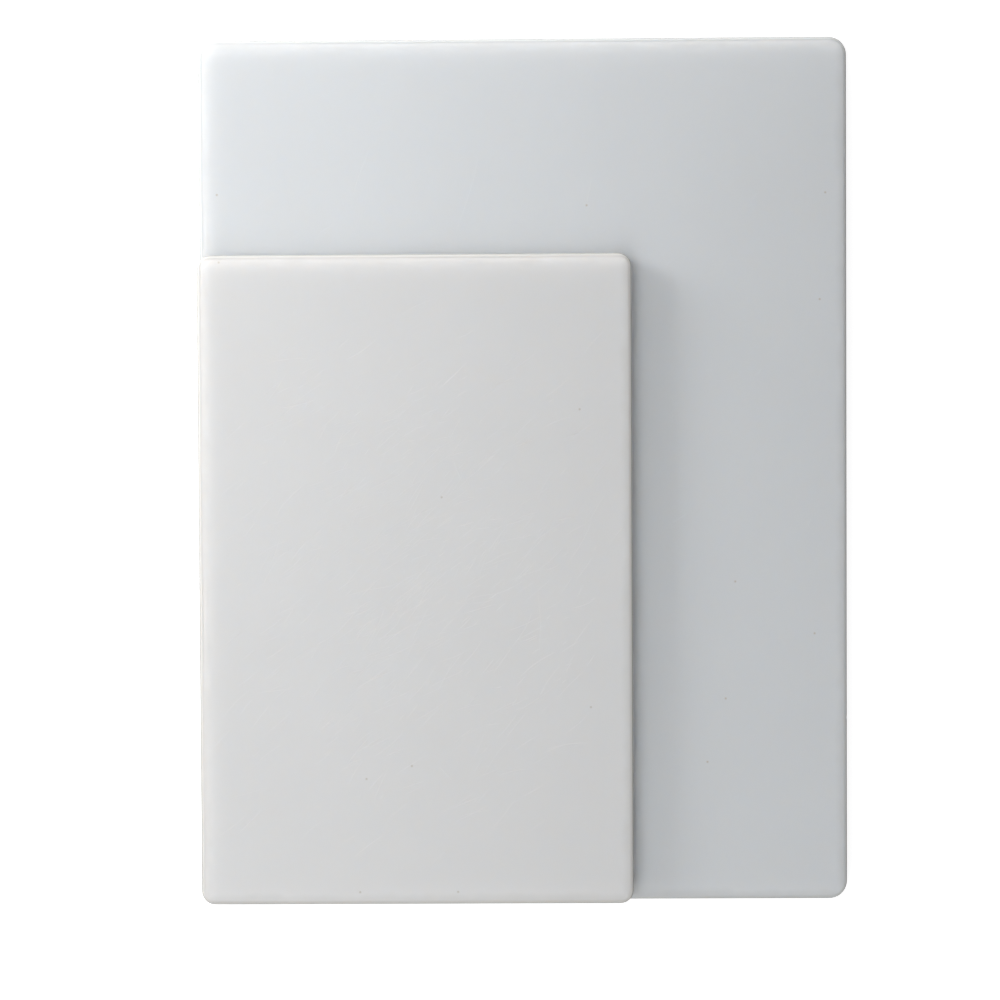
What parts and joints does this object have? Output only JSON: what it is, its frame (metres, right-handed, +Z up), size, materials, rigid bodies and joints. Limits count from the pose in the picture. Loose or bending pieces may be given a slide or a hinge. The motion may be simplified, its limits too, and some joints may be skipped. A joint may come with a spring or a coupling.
{
  "type": "cutting board",
  "caption": "Plain white plastic cutting boards, the small one lying on the large one, each a solid slab with rounded corners and eased edges.",
  "frame": {"origin": "centre of the large board's underside, on the worktop", "axes": "+Z up out of the cutting faces, +Y along the boards' length, away from the user, +X to the right across their width; the small board lies flush with the large board's left (-X) and front (-Y) edges"},
  "size_m": [0.4572, 0.6096, 0.0254],
  "materials": {
    "large_board_sheet": "solid high density polyethylene sheet, cool white, slightly translucent, fine matt grain with light knife scratches",
    "small_board_sheet": "solid high density polyethylene sheet, warm white, slightly translucent, fine matt grain with knife scores"
  },
  "bodies": {
    "large_board": {"large_board": "large_board_sheet"},
    "small_board": {"small_board": "small_board_sheet"}
  },
  "joints": [
    {"name": "small_board_lift", "type": "slide", "parent": "large_board", "child": "small_board", "axis": [0, 0, 1], "range_m": [0, 0.15]}
  ]
}
